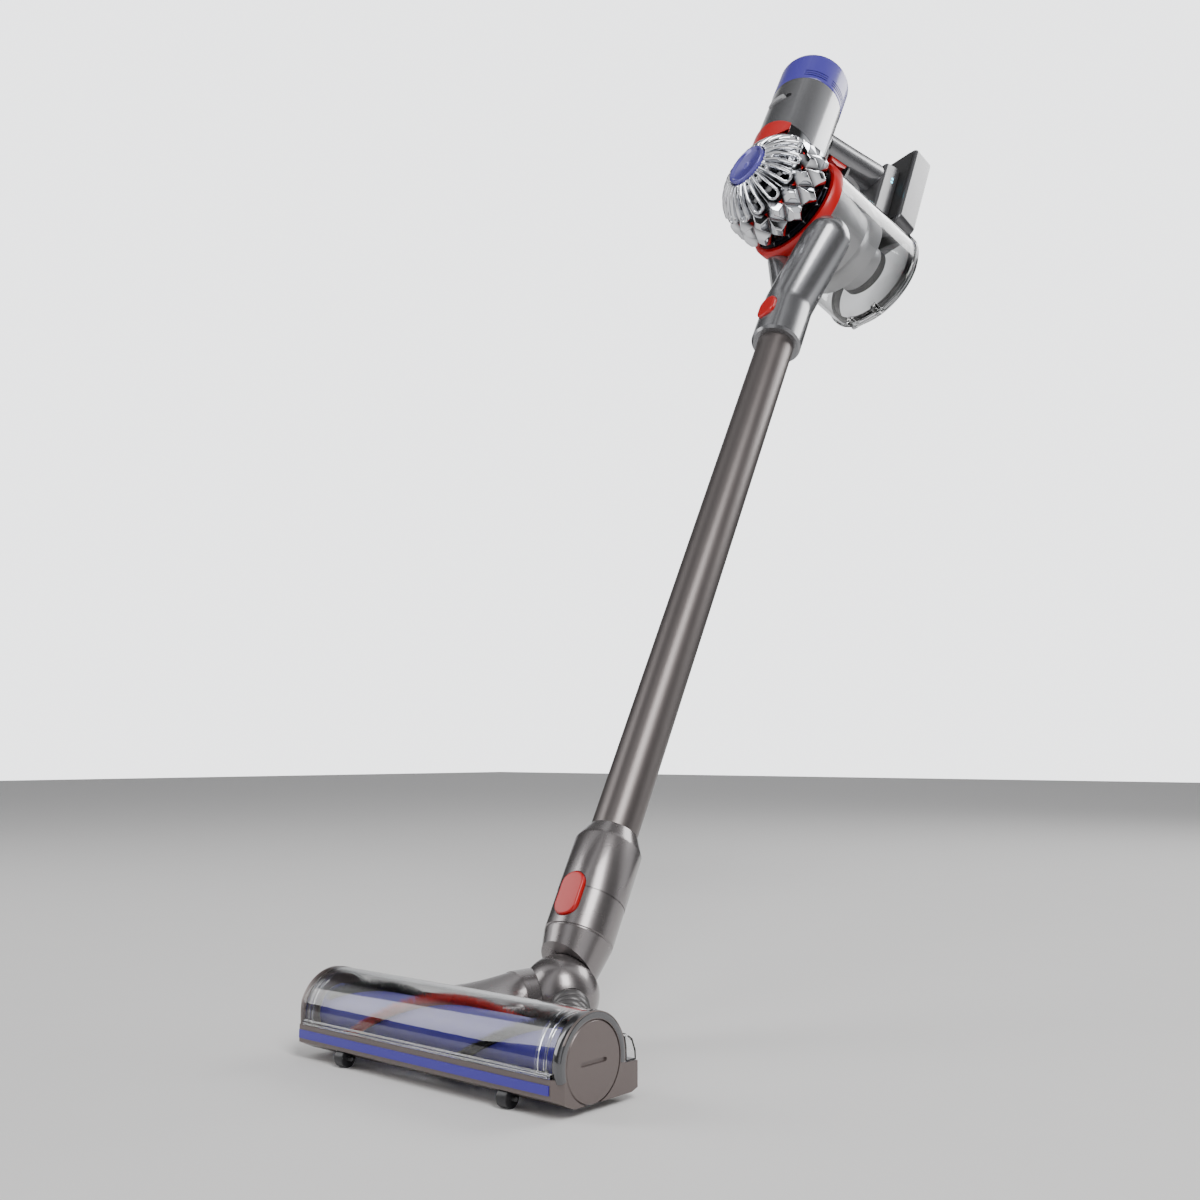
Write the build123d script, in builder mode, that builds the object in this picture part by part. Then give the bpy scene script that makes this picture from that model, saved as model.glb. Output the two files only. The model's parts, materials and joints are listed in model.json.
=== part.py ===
from build123d import *
import os
from math import acos, asin, cos, degrees, radians, sin

# Cordless stick vacuum, in millimetres. X runs along the floor head, Y towards the back, Z up.
# The floor is Z = 0, and the brush roll's axis stands over the origin.

# Floor head
head_left = -107.0
head_right = 125.0
cheek = 6.0
roll_height = 27.0
roll_radius = 17.0
roll_start = -98.0
roll_end = 112.0
window_radius = 27.6
window_wall = 1.8
lip_front = -29.0
lip_low = 10.5
lip_high = 21.5
sole_height = 4.7
rear_wall = 38.5
end_cap_radius = 22.8

# Neck
pivot_place = (2.0, 106.0, 34.0)
ball_radius = 27.0
swivel_lean = 55.8
wand_offset = 22.4
steer_angle = -14.08
swivel_face = 17.0

# Wand
tube_radius = 17.9
tube_wall = 1.2
tube_start = 74.0
tube_end = 706.0
socket_radius = 25.2
lower_button_place = 63.5
lower_button_turn = 15.5
upper_button_place = 710.0

# Cyclone and bin
bin_centre = 870.0
bin_tilt = 8.5
bin_radius = 57.0
bin_wall = 2.2
lid_radius = 60.0
lid_place = 95.0
ring_radius = 58.0
ring_low = -35.0
ring_high = -23.0
disc_place = -108.0

# Motor and post filter
motor_offset = -61.5
motor_radius = 38.5
motor_low = 931.0
motor_high = 1015.0
filter_high = 1066.0
slider_place = 982.0

# Handle and battery
handle_start = (-3.7, 1000.0)
handle_rake = 23.3
grip_end = 62.0
base_front = 54.0
slab_low = 952.0
slab_high = 1090.0
slab_front = 79.0
slab_back = 106.0
slab_half_width = 35.0

os.makedirs("parts", exist_ok=True)

upright = Vector(0, sin(radians(swivel_lean)), cos(radians(swivel_lean)))
straight_lean = radians(swivel_lean - wand_offset)
swivel_axis = Axis((0, 0, 0), upright)
wand_dir = Vector(0, sin(straight_lean), cos(straight_lean)).rotate(swivel_axis, steer_angle)
side_dir = Vector(1, 0, 0).rotate(swivel_axis, steer_angle)


def shifted(frame, x=0.0, y=0.0, z=0.0):
    # The same frame with its origin moved by its own x, y and z.
    return Plane(frame.from_local_coords(Vector(x, y, z)), x_dir=frame.x_dir, z_dir=frame.z_dir)


def leaned(frame, degrees):
    # The same origin, with z turned from the frame's z towards its y.
    turn = radians(degrees)
    z_dir = frame.z_dir * cos(turn) + frame.y_dir * sin(turn)
    return Plane(frame.origin, x_dir=frame.x_dir, z_dir=z_dir)


def section(frame):
    # The half plane of a turned profile: x is the radius and y the height along the frame's axis.
    return Plane(frame.origin, x_dir=frame.x_dir, z_dir=-frame.y_dir)


def axis_of(frame):
    return Axis(frame.origin, frame.z_dir)


def outline(plane, *points):
    # A closed face through the given points.
    with BuildSketch(plane) as face:
        with BuildLine():
            Polyline(*points, close=True)
        make_face()
    return face.sketch


def wheel_face(x, radius, bore=0.0):
    # A disc about the roll's axis at x.
    return disc(shifted(roll, z=x), radius, bore)


def disc(plane, radius, bore=0.0):
    with BuildSketch(plane) as face:
        Circle(radius)
        if bore:
            Circle(bore, mode=Mode.SUBTRACT)
    return face.sketch


def block(plane, width, height, corner=0.0):
    with BuildSketch(plane) as face:
        if corner:
            RectangleRounded(width, height, corner)
        else:
            Rectangle(width, height)
    return face.sketch


def save(builder, name):
    builder.part.label = name
    export_step(builder.part, f"parts/{name}.step")


roll = Plane((0, 0, roll_height), x_dir=(0, 1, 0), z_dir=(1, 0, 0))
pivot = Plane(pivot_place, x_dir=(1, 0, 0), z_dir=(0, 0, 1))
swivel = Plane(pivot_place, x_dir=side_dir, z_dir=upright)
wand = Plane(pivot_place, x_dir=side_dir, z_dir=wand_dir)
bin_frame = leaned(shifted(wand, z=bin_centre), 90 - bin_tilt)
motor_frame = shifted(wand, y=motor_offset)
handle_frame = leaned(shifted(wand, y=handle_start[0], z=handle_start[1]), 90 - handle_rake)

# Wand and neck socket



def button_front(height):
    # The plane that a button faces: the lower one sits a little to the right.
    turn = lower_button_turn if height == lower_button_place else 0
    facing = (-wand.y_dir).rotate(axis_of(wand), turn)
    return Plane(wand.origin, x_dir=wand.z_dir.cross(facing) * -1, z_dir=facing)


def button_face(height, reach, length, width):
    # An upright oval on the front of the wand, at a height along it and a reach from its axis.
    centre = wand.from_local_coords(Vector(0, 0, height)) + button_front(height).z_dir * reach
    with BuildSketch(Plane(centre, x_dir=wand.z_dir, z_dir=button_front(height).z_dir)) as face:
        SlotOverall(length, width)
    return face.sketch


with BuildPart() as wand_tube:
    extrude(disc(wand.offset(tube_start), tube_radius, tube_radius - tube_wall), amount=tube_end - tube_start)
save(wand_tube, "wand_tube")

with BuildPart() as neck_socket:
    revolve(outline(section(wand), (tube_radius, 126), (tube_radius + 0.8, 126), (socket_radius, 113),
                    (socket_radius, 70.4), (tube_radius, 70.4)), axis=axis_of(wand))
    extrude(button_face(lower_button_place, 16, 34.8, 19.8), amount=14, mode=Mode.SUBTRACT)
save(neck_socket, "neck_socket")

with BuildPart() as neck_cone:
    revolve(outline(section(wand), (0, 70), (socket_radius - 0.2, 70), (socket_radius - 0.3, 42),
        (socket_radius - 1, 41.4), (socket_radius - 1, 40.8), (socket_radius - 0.4, 40.2), (18.5, 6), (0, 6)),
        axis=axis_of(wand))
    split(bisect_by=swivel.offset(swivel_face + 0.5), keep=Keep.TOP)
    extrude(disc(swivel.offset(swivel_face - 1), 13.6), amount=12, mode=Mode.SUBTRACT)
    extrude(disc(wand.offset(26), tube_radius - 2.5), amount=45, mode=Mode.SUBTRACT)
    extrude(button_face(lower_button_place, 16, 34.8, 19.8), amount=14, mode=Mode.SUBTRACT)
save(neck_cone, "neck_cone")


def save_button(height, length, width, name):
    with BuildPart() as button:
        extrude(button_face(height, 21.2, length, width), amount=5.2)
        fillet(button.faces().sort_by(Axis(wand.origin, button_front(height).z_dir))[-1].edges(), radius=1.6)
    save(button, name)


save_button(lower_button_place, 34, 19, "lower_button")

# Elbow between neck and head

mouth = Plane((22.5, 93.0, 31.0), x_dir=(0, 0, 1), z_dir=(0.78, -0.6, -0.18))

face_angle = degrees(asin(swivel_face / ball_radius))
cavity_angle = degrees(acos(10.5 / 14.0))

with BuildPart() as elbow_ball:
    with BuildSketch(section(swivel)):
        with BuildLine():
            CenterArc((0, 0), ball_radius, -90, 90 + face_angle)
            CenterArc((0, 0), 14.0, -90, 90 + cavity_angle)
            Line((0, -ball_radius), (0, -14.0))
            Polyline((ball_radius * cos(radians(face_angle)), swivel_face), (13.3, swivel_face), (13.3, 26),
                     (10.5, 26), (10.5, 14.0 * sin(radians(cavity_angle))))
        make_face()
    revolve(axis=axis_of(swivel))
    extrude(disc(mouth.offset(-16), 12.0), amount=22, mode=Mode.SUBTRACT)
save(elbow_ball, "elbow_ball")

# Floor head

body_start = head_left + cheek
body_length = head_right - head_left - 2 * cheek
plan = Plane.XY


def side(x):
    # A plane across the head at x: its own x runs to the back and its y upwards.
    return Plane((x, 0, 0), x_dir=(0, 1, 0), z_dir=(1, 0, 0))


def cheek_face(x):
    # The end of the head: a round nose over the roll, with the low lip and the rear block.
    with BuildSketch(side(x)) as face:
        with Locations((0, roll_height)):
            Circle(window_radius)
        with Locations((0, sole_height - 30)):
            Rectangle(100, 60, mode=Mode.SUBTRACT)
        with BuildLine():
            Polyline((-15.6, sole_height), (-25, 11), (-25, 22.5), (0, 30), (20, 30), (24, 22),
                (rear_wall, 21.5), (rear_wall, 6.5), (33, sole_height), close=True)
        make_face()
    return face.sketch


def corner_cuts():
    # The plan of what the front corners lose.
    with BuildSketch(plan) as face:
        with BuildLine():
            Polyline((head_right + 1, -23), (head_right + 1, lip_front - 2), (head_right - 8, lip_front - 2),
                close=True)
        make_face()
        with BuildLine():
            Polyline((head_left - 1, -25), (head_left - 1, lip_front - 2), (head_left + 4, lip_front - 2),
                close=True)
        make_face()
    return face.sketch


wheel_radius = 5.6
axle_radius = 1.2
wheel_places = {"front_wheel_left": (-63, -24.5), "front_wheel_right": (82, -24.5)}


def wheel_disc(name, inset, radius, bore=0.0):
    # A disc about a wheel's axle, starting inset millimetres to the left of its middle.
    x, y = wheel_places[name]
    return disc(Plane((x - inset, y, wheel_radius), x_dir=(0, 1, 0), z_dir=(1, 0, 0)), radius, bore)


with BuildPart() as head_base:
    with BuildSketch(side(body_start)):
        with BuildLine():
            Polyline((lip_front, lip_low), (lip_front, lip_high), (-25.4, lip_high), (-21, 12),
                (-16, sole_height), close=True)
        make_face()
        with BuildLine():
            Polyline((18, sole_height), (32, sole_height), (rear_wall, 8), (rear_wall, lip_high),
                (25.5, lip_high), (20, 13), close=True)
        make_face()
        with Locations((0, roll_height)):
            Circle(window_radius - window_wall - 0.2, mode=Mode.SUBTRACT)
    extrude(amount=body_length)
    for x in (head_left, head_right - cheek):
        extrude(cheek_face(x), amount=cheek)
        with BuildSketch(side(x)):
            with BuildLine():
                Polyline((lip_front, lip_low), (lip_front, lip_high), (-20, lip_high), (-16, sole_height),
                    close=True)
            make_face()
        extrude(amount=cheek)
    extrude(disc(shifted(roll, z=head_right - cheek - 1), end_cap_radius + 0.3), amount=cheek + 2,
        mode=Mode.SUBTRACT)
    extrude(corner_cuts(), amount=60, mode=Mode.SUBTRACT)
    for name in wheel_places:
        extrude(wheel_disc(name, 4.6, wheel_radius + 0.7), amount=9.2, mode=Mode.SUBTRACT)
        extrude(wheel_disc(name, 7, axle_radius), amount=14, mode=Mode.SUBTRACT)
save(head_base, "head_base")

with BuildPart() as window:
    with BuildSketch(side(body_start + 0.2)):
        with Locations((0, roll_height)):
            Circle(window_radius)
            Circle(window_radius - window_wall, mode=Mode.SUBTRACT)
        with Locations((0, lip_high + 0.2 - 30)):
            Rectangle(120, 60, mode=Mode.SUBTRACT)
        with Locations((40, 6)):
            Rectangle(50, 60, mode=Mode.SUBTRACT)
        with BuildLine():
            Polyline((lip_front, lip_high + 0.2), (lip_front, 24), (-26.5, 24.5), (-25.6, lip_high + 0.2),
                close=True)
        make_face()
    extrude(amount=body_length - 0.4)
    extrude(corner_cuts(), amount=60, mode=Mode.SUBTRACT)
save(window, "window")

with BuildPart() as lip_strip:
    with BuildSketch(side(head_left + 1)):
        with Locations((lip_front - 0.4, 15.8)):
            Rectangle(0.8, 5.2)
    extrude(amount=head_right - head_left - 8)
    extrude(corner_cuts(), amount=60, mode=Mode.SUBTRACT)
save(lip_strip, "lip_strip")

with BuildPart() as rear_cover:
    with BuildSketch(side(body_start)):
        with BuildLine():
            Polyline((15.2, 36.2), (15.2, 43.5), (25, 40), (35, 31), (rear_wall, lip_high + 0.2),
                (26.2, lip_high + 0.2), (23, 38), close=True)
        make_face()
        with Locations((0, roll_height)):
            Circle(window_radius + 0.1, mode=Mode.SUBTRACT)
    extrude(amount=body_length - 26)
save(rear_cover, "rear_cover")

with BuildPart() as rear_latch:
    with BuildSketch(side(head_right - cheek - 18)):
        with BuildLine():
            Polyline((28.6, lip_high + 0.5), (28.6, 30), (27, 37), (29.5, 37.6), (35, 34), (38, 27),
                (38.2, lip_high + 0.3), close=True)
        make_face()
        with BuildLine():
            Polyline((29.9, lip_high + 1.3), (29.7, 30.5), (28.6, 35.8), (29.5, 36), (34, 33), (36.6, 26.7),
                     (36.8, lip_high + 1.3), close=True)
        make_face(mode=Mode.SUBTRACT)
    extrude(amount=23)
save(rear_latch, "rear_latch")

with BuildPart() as end_cap:
    extrude(wheel_face(head_right - cheek - 3, end_cap_radius), amount=cheek + 3)
    extrude(wheel_face(roll_end - 11, 3.95), amount=16)
    with BuildSketch(shifted(roll, z=head_right - 1.2)):
        SlotOverall(22, 2.6)
    extrude(amount=2, mode=Mode.SUBTRACT)
    chamfer(faces().sort_by(Axis.X)[-1].edges().filter_by(GeomType.CIRCLE).sort_by(SortBy.LENGTH)[-1], 0.8)
save(end_cap, "end_cap")

with BuildPart() as roll_core:
    extrude(wheel_face(roll_start, roll_radius, roll_radius - 3), amount=roll_end - roll_start)
    extrude(wheel_face(roll_end - 6, roll_radius, 4.0), amount=6)
save(roll_core, "roll_core")

bristle_steps = 34
bristle_reach = 24.4
bristle_twist = -300.0


def save_bristles(name, starts):
    # Tufts standing out of the roll along helical lines, one short block after another.
    step = (roll_end - roll_start - 12) / bristle_steps
    with BuildPart() as tufts:
        for start in starts:
            for number in range(bristle_steps):
                angle = start + bristle_twist * (number + 0.5) / bristle_steps
                place = shifted(roll, z=roll_start + 6 + step * number)
                turned = Plane(place.origin, x_dir=place.x_dir.rotate(axis_of(place), angle),
                    z_dir=place.z_dir)
                with BuildSketch(shifted(turned, x=(roll_radius + bristle_reach) / 2 + 0.2)):
                    Rectangle(bristle_reach - roll_radius - 0.4, 3.2)
                extrude(amount=step * 0.9)
    save(tufts, name)


save_bristles("red_bristles", (238,))
save_bristles("black_bristles", (28, 133))

with BuildPart() as roll_motor:
    extrude(wheel_face(roll_start - 3, 16.0), amount=2.6)
    extrude(wheel_face(roll_start - 0.4, 12.5), amount=90)
save(roll_motor, "roll_motor")

with BuildPart() as roll_bearing:
    extrude(wheel_face(roll_end - 11, 9.0, 4.0), amount=4.8)
save(roll_bearing, "roll_bearing")

for name in wheel_places:
    with BuildPart() as wheel:
        extrude(wheel_disc(name, 4, wheel_radius, axle_radius + 0.05), amount=8)
        fillet(wheel.edges().filter_by(GeomType.CIRCLE).group_by(SortBy.RADIUS)[-1], 0.6)
    save(wheel, name)

with BuildPart() as wheel_axles:
    for name in wheel_places:
        extrude(wheel_disc(name, 7, axle_radius), amount=14)
save(wheel_axles, "wheel_axles")

cup_plane = Plane((-12.0, 76.0, 31.0), x_dir=(1, 0, 0), z_dir=(-0.25, -0.96, -0.05))
cup_radius = 20.5
with BuildPart() as neck_cradle:
    with BuildSketch(Plane((-24, rear_wall - 0.1, 25.5), x_dir=(1, 0, 0), z_dir=(0, -1, 0))):
        RectangleRounded(78, 33, 9)
    with BuildSketch(cup_plane):
        Circle(cup_radius)
    loft()
    extrude(disc(cup_plane.offset(-14), cup_radius + 0.4), amount=14)
    with Locations(pivot):
        Sphere(ball_radius + 0.4, mode=Mode.SUBTRACT)
    split(bisect_by=Plane((0, rear_wall + 0.1, 0), x_dir=(1, 0, 0), z_dir=(0, 1, 0)), keep=Keep.TOP)
save(neck_cradle, "neck_cradle")

hose_radius = 13.5
with BuildPart() as neck_hose:
    with BuildLine() as route:
        Spline(mouth.origin + mouth.z_dir * 6.5, Vector(42, 66, 23), Vector(42, rear_wall + 0.2, 20),
               tangents=(mouth.z_dir, Vector(0, -1, 0)))
    with BuildSketch(Plane(route.line @ 0, z_dir=route.line % 0)):
        Circle(hose_radius)
        Circle(hose_radius - 1.5, mode=Mode.SUBTRACT)
    sweep()
save(neck_hose, "neck_hose")

# Inlet duct on the handheld

duct_bend = 737.0
duct_seam = 726.0
duct_radius = 24.5
duct_end = wand.from_local_coords(Vector(32, -4, 817))
duct_start = wand.from_local_coords(Vector(0, 0, duct_bend))
duct_frame = Plane(duct_start, x_dir=wand.y_dir, z_dir=duct_end - duct_start)
duct_length = (duct_end - duct_start).length
prong_end = wand.from_local_coords(Vector(-27, -8, 824))
prong_frame = Plane(duct_start, x_dir=wand.y_dir, z_dir=prong_end - duct_start)
prong_length = (prong_end - duct_start).length

with BuildPart() as inlet_collar:
    revolve(outline(section(wand), (tube_radius, 676), (duct_radius - 2, 676), (duct_radius, 678.5),
                    (duct_radius, duct_seam - 0.2), (tube_radius, duct_seam - 0.2)), axis=axis_of(wand))
    extrude(button_face(upper_button_place, 16, 29.8, 20.8), amount=14, mode=Mode.SUBTRACT)
save(inlet_collar, "inlet_collar")

with BuildPart() as inlet_duct:
    extrude(disc(wand.offset(duct_seam), duct_radius), amount=duct_bend - duct_seam)
    with Locations(Plane(duct_start)):
        Sphere(duct_radius)
    extrude(disc(duct_frame, duct_radius), amount=duct_length)
    with Locations(Plane(duct_end)):
        Sphere(duct_radius)
    extrude(disc(prong_frame, 15), amount=prong_length)
    split(bisect_by=wand.offset(duct_seam), keep=Keep.TOP)
    extrude(disc(wand.offset(duct_seam - 1), 17.5), amount=duct_bend - duct_seam + 1, mode=Mode.SUBTRACT)
    extrude(disc(duct_frame, 17.5), amount=duct_length, mode=Mode.SUBTRACT)
    extrude(disc(bin_frame.offset(-60), ring_radius + 0.3), amount=190, mode=Mode.SUBTRACT)
save(inlet_duct, "inlet_duct")

save_button(upper_button_place, 29, 20, "upper_button")

# A leaf spring lies between the wand and each button.
with BuildPart() as button_springs:
    for place in (lower_button_place, upper_button_place):
        centre = wand.from_local_coords(Vector(0, 0, place)) + button_front(place).z_dir * (tube_radius + 0.2)
        extrude(block(Plane(centre, x_dir=wand.z_dir, z_dir=button_front(place).z_dir), 24, 6), amount=0.4)
save(button_springs, "button_springs")

# Cyclone, bin and lid

with BuildPart() as cyclone_cover:
    revolve(outline(section(bin_frame), (54.5, -35), (57.5, -46), (59, -58), (57.5, -71), (53, -83),
        (45, -95), (34.5, -102.5), (24.2, -106), (24.2, -103), (33.5, -100), (43, -93), (50.7, -82),
        (55, -70), (56.4, -58), (55, -46), (52, -35)), axis=axis_of(bin_frame))
save(cyclone_cover, "cyclone_cover")

cone_count = 12
with BuildPart() as cyclone_cones:
    cone_frames = [Plane(bin_frame.offset(-90).origin + bin_frame.x_dir.rotate(axis_of(bin_frame),
        360 / cone_count * k) * 34, x_dir=bin_frame.x_dir, z_dir=bin_frame.z_dir) for k in range(cone_count)]
    for frame in cone_frames:
        revolve(outline(section(frame), (0, 0), (8, 0), (8, 18), (3.2, 60), (0, 60)), axis=axis_of(frame))
save(cyclone_cones, "cyclone_cones")

with BuildPart() as cyclone_ring:
    revolve(outline(section(bin_frame), (44, ring_high - 9), (50, ring_low + 0.2),
        (ring_radius - 2, ring_low + 0.2), (ring_radius, ring_low + 4), (ring_radius, ring_high),
        (52, ring_high), (44, ring_high - 4)), axis=axis_of(bin_frame))
save(cyclone_ring, "cyclone_ring")

rail_width = 15.0
bin_low = ring_high + 0.2
rail_low = -10.5
hinge_reach = 61.8
with BuildPart() as dust_bin:
    revolve(outline(section(bin_frame), (bin_radius - bin_wall, bin_low), (bin_radius, bin_low),
        (bin_radius + 1.4, lid_place), (bin_radius + 1.4 - bin_wall, lid_place)), axis=axis_of(bin_frame))
    with BuildSketch(shifted(bin_frame, y=-61, z=rail_low)):
        Rectangle(rail_width, 12)
        Rectangle(rail_width - 4, 8, mode=Mode.SUBTRACT)
    extrude(amount=lid_place - rail_low - 6)
    for x in (-16, 16):
        extrude(disc(Plane(bin_frame.from_local_coords(Vector(x - 3, hinge_reach, lid_place - 1)),
            x_dir=bin_frame.y_dir, z_dir=bin_frame.x_dir), 3.2), amount=6)
        with BuildSketch(shifted(bin_frame, x=x, y=59.5, z=lid_place - 11)):
            Rectangle(6, 8)
        extrude(amount=11)
    hinge_line = Plane(bin_frame.from_local_coords(Vector(-30, hinge_reach, lid_place - 1)),
        x_dir=bin_frame.y_dir, z_dir=bin_frame.x_dir)
    extrude(disc(hinge_line, 1.5), amount=60, mode=Mode.SUBTRACT)
    revolve(outline(section(bin_frame), (0, bin_low), (bin_radius - bin_wall, bin_low),
        (bin_radius + 1.4 - bin_wall, lid_place), (0, lid_place)), axis=axis_of(bin_frame),
        mode=Mode.SUBTRACT)
save(dust_bin, "dust_bin")

with BuildPart() as bin_lid:
    revolve(outline(section(bin_frame), (0, lid_place + 6), (lid_radius - 8, lid_place + 6),
        (lid_radius - 4, lid_place + 3), (lid_radius - 2.5, lid_place + 0.3), (lid_radius, lid_place + 0.3),
        (lid_radius, lid_place + 4), (lid_radius - 3, lid_place + 7.4), (lid_radius - 8, lid_place + 8.4),
        (0, lid_place + 8.4)), axis=axis_of(bin_frame))
    lid_hinge = Plane(bin_frame.from_local_coords(Vector(-12.6, hinge_reach, lid_place - 1)),
        x_dir=bin_frame.y_dir, z_dir=bin_frame.x_dir)
    extrude(disc(lid_hinge, 3.0), amount=25.2)
    extrude(disc(lid_hinge, 1.55), amount=25.2, mode=Mode.SUBTRACT)
    for x in (-16, 16):
        with BuildSketch(shifted(bin_frame, x=x, y=hinge_reach, z=lid_place - 1)):
            Rectangle(6.8, 14)
        extrude(amount=12, mode=Mode.SUBTRACT)
save(bin_lid, "bin_lid")

with BuildPart() as lid_hinge_pin:
    extrude(disc(shifted(lid_hinge, z=-6.3), 1.5), amount=37.8)
save(lid_hinge_pin, "lid_hinge_pin")

with BuildPart() as lid_seal:
    revolve(outline(section(bin_frame), (51, lid_place + 5.9), (55.5, lid_place + 2.6),
        (55.5, lid_place - 3.5), (51, lid_place - 3.5)), axis=axis_of(bin_frame))
save(lid_seal, "lid_seal")

with BuildPart() as lid_catch:
    with BuildSketch(shifted(bin_frame, y=-62.8, z=lid_place - 5)):
        RectangleRounded(13, 4.6, 1)
    extrude(amount=12)
save(lid_catch, "lid_catch")

with BuildPart() as push_rod:
    with BuildSketch(shifted(bin_frame, y=-61, z=rail_low)):
        Rectangle(8, 5)
    extrude(amount=lid_place - rail_low - 9.5)
save(push_rod, "push_rod")

with BuildPart() as shroud:
    revolve(outline(section(bin_frame), (41.5, bin_low), (47, bin_low), (46.5, 0), (42.5, 34), (45, 37),
        (47.5, 52), (45.5, 52), (43, 38.5), (27.5, 38.5), (27.5, 34.2), (41, 34)), axis=axis_of(bin_frame))
save(shroud, "shroud")

with BuildPart() as fine_dust_cup:
    revolve(outline(section(bin_frame), (24.8, 20), (27.3, 20), (27.3, 76), (25, 76)),
        axis=axis_of(bin_frame))
save(fine_dust_cup, "fine_dust_cup")

with BuildPart() as dust_cup_seal:
    revolve(outline(section(bin_frame), (22, 76.2), (27.3, 76.2), (27.3, 84), (25, 86), (22, 86)),
        axis=axis_of(bin_frame))
save(dust_cup_seal, "dust_cup_seal")

with BuildPart() as filter_disc:
    revolve(outline(section(bin_frame), (0, disc_place + 3), (17, disc_place + 3), (20.5, disc_place),
        (22.5, disc_place), (23.3, disc_place + 1.5), (23.3, disc_place + 5), (22.5, disc_place + 6.5),
        (0, disc_place + 6.5)), axis=axis_of(bin_frame))
save(filter_disc, "filter_disc")

with BuildPart() as filter_sleeve:
    revolve(outline(section(bin_frame), (15.5, disc_place + 6.7), (19, disc_place + 6.7), (17.5, 10),
        (15, 10)), axis=axis_of(bin_frame))
save(filter_sleeve, "filter_sleeve")

# Motor, filter cap and controls

seam_plane = Plane(motor_frame.from_local_coords(Vector(0, -motor_radius, motor_low)),
    x_dir=motor_frame.x_dir, z_dir=motor_frame.z_dir + motor_frame.y_dir * 0.6)


def clear_of_cyclone():
    # The room that the cover and its ring take, to be cut from what stands on them.
    return outline(section(bin_frame), (0, disc_place - 1), (24.8, disc_place - 1), (35, -103.4),
        (45.8, -95.7), (53.9, -83.4), (58.4, -71.2), (59.9, -58), (58.7, -46), (59.2, ring_low), (59.2, 25),
        (0, 25))


with BuildPart() as motor_housing:
    extrude(disc(motor_frame.offset(860), motor_radius, motor_radius - 2.4), amount=motor_high - 860)
    split(bisect_by=seam_plane, keep=Keep.TOP)
    with BuildSketch(Plane(motor_frame.from_local_coords(Vector(0, 0, slider_place)), x_dir=motor_frame.x_dir,
                           z_dir=-motor_frame.y_dir)):
        with Locations((2.5, 0)):
            SlotOverall(31, 9)
    extrude(amount=60, mode=Mode.SUBTRACT)
    revolve(clear_of_cyclone(), axis=axis_of(bin_frame), mode=Mode.SUBTRACT)
save(motor_housing, "motor_housing")

with BuildPart() as motor_saddle:
    extrude(disc(motor_frame.offset(860), motor_radius - 0.3, motor_radius - 5), amount=90)
    split(bisect_by=Plane(motor_frame.from_local_coords(Vector(0, -27, 900)), x_dir=motor_frame.x_dir,
                          z_dir=motor_frame.y_dir), keep=Keep.TOP)
    extrude(disc(motor_frame.offset(860), motor_radius - 4.4, motor_radius - 7), amount=90)
    split(bisect_by=seam_plane.offset(-0.3), keep=Keep.BOTTOM)
    revolve(clear_of_cyclone(), axis=axis_of(bin_frame), mode=Mode.SUBTRACT)
save(motor_saddle, "motor_saddle")

with BuildPart() as release_lever:
    extrude(disc(motor_frame.offset(897), motor_radius + 1.6, motor_radius - 4), amount=60)
    split(bisect_by=seam_plane.offset(-0.6), keep=Keep.BOTTOM)
    split(bisect_by=Plane(motor_frame.from_local_coords(Vector(0, -28, 900)), x_dir=motor_frame.x_dir,
                          z_dir=-motor_frame.y_dir), keep=Keep.TOP)
    split(bisect_by=Plane(motor_frame.from_local_coords(Vector(0, -motor_radius, 897)),
        x_dir=motor_frame.x_dir, z_dir=motor_frame.z_dir - motor_frame.y_dir * 1.6), keep=Keep.TOP)
    revolve(clear_of_cyclone(), axis=axis_of(bin_frame), mode=Mode.SUBTRACT)
save(release_lever, "release_lever")

with BuildPart() as power_slider:
    with BuildSketch(Plane(motor_frame.from_local_coords(Vector(0, 0, slider_place)), x_dir=motor_frame.x_dir,
                           z_dir=-motor_frame.y_dir)):
        with Locations((-0.5, 0)):
            SlotOverall(23, 7.6)
    extrude(amount=60)
    extrude(disc(motor_frame.offset(950), motor_radius + 1.4, motor_radius - 2.2), amount=60,
        mode=Mode.INTERSECT)
save(power_slider, "power_slider")

with BuildPart() as motor_can:
    extrude(disc(motor_frame.offset(940), 29), amount=46)
    extrude(disc(motor_frame.offset(986), 12), amount=4)
    extrude(disc(motor_frame.offset(939), 3.1), amount=52, mode=Mode.SUBTRACT)
save(motor_can, "motor_can")

with BuildPart() as motor_mounts:
    for height in (942, 983):
        extrude(disc(motor_frame.offset(height), motor_radius - 2.5, 29.1), amount=6)
save(motor_mounts, "motor_mounts")

blade_count = 11
with BuildPart() as impeller:
    extrude(disc(motor_frame.offset(935.5), 26), amount=2)
    revolve(outline(section(motor_frame), (0, 925), (4, 925), (9, 935.5), (0, 935.5)),
        axis=axis_of(motor_frame))
    extrude(disc(motor_frame.offset(937), 3.0), amount=50)
    with BuildSketch(motor_frame.offset(929)):
        with PolarLocations(0, blade_count):
            with Locations((15.5, 0)):
                Rectangle(20, 1.2, rotation=14)
    extrude(amount=6.6)
save(impeller, "impeller")

with BuildPart() as control_board:
    extrude(disc(motor_frame.offset(992.5), 33), amount=1.6)
    with BuildSketch(motor_frame.offset(994.1)):
        with Locations((-14, -10), (10, -14), (12, 12)):
            Rectangle(9, 6)
    extrude(amount=5)
save(control_board, "control_board")

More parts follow.
